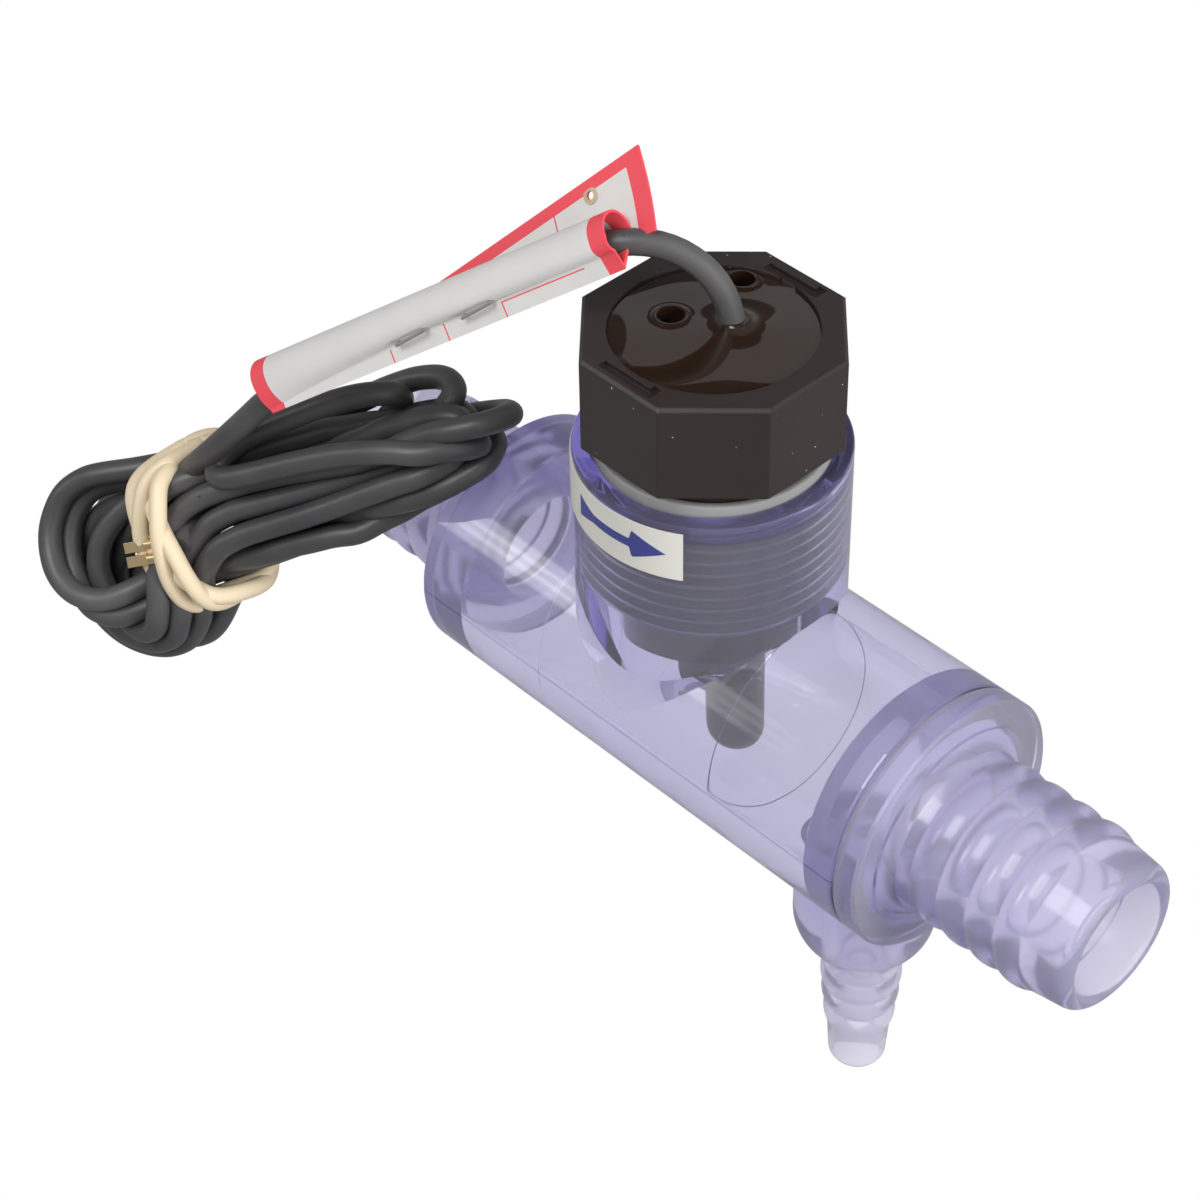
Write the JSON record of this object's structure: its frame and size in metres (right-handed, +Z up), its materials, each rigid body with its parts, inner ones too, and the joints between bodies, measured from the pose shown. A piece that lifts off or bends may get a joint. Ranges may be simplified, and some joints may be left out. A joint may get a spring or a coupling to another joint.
{
  "type": "flow switch",
  "caption": "Clear in-line tee with ribbed hose barbs, a drain barb, a screwed-in potted switch plug with a hanging paddle, and a hanked lead with a paper tag.",
  "frame": {"origin": "where the run's axis meets the branch's axis", "axes": "+X along the run in the flow direction, towards the outlet barb; +Z up the branch to the plug's head"},
  "size_m": [0.1509, 0.0609, 0.1195],
  "materials": {
    "clear_pvc": "clear, violet-tinted",
    "black_plastic": "satin",
    "grey_rubber": "matte",
    "potting": "glossy",
    "reed_glass": "clear",
    "contact_steel": "satin",
    "solder": "satin",
    "sleeving": "matte",
    "core_insulation": "matte",
    "copper": "bare",
    "magnet": "ground",
    "label": "printed film",
    "cable_jacket": "satin",
    "band_rubber": "matte",
    "paper": "smooth paper with a red border",
    "gold_contact": "plated"
  },
  "bodies": {
    "switch_body": {"tee_body": "clear_pvc", "inlet_barb": "clear_pvc", "outlet_barb": "clear_pvc", "drain_barb": "clear_pvc", "plug_body": "black_plastic", "sealing_ring": "grey_rubber", "potting_compound": "potting", "reed_glass": "reed_glass", "reed_blades": "contact_steel", "lead_splices": "solder", "splice_sleeves": "sleeving", "cable_cores": "core_insulation", "core_conductors": "copper", "pivot_pin": "contact_steel", "flow_label": "label", "cable": "cable_jacket", "cable_hank": "cable_jacket", "rubber_band": "band_rubber", "tag": "paper", "tag_staples": "contact_steel", "end_cores": "core_insulation", "contact_pins": "gold_contact"},
    "paddle": {"paddle": "black_plastic", "paddle_magnet": "magnet"}
  },
  "joints": [
    {"name": "paddle_swing", "type": "hinge", "parent": "switch_body", "child": "paddle", "pos_m": [0.005, 0, 0.0065], "axis": [0, -1, 0], "range_deg": [0, 32]}
  ]
}
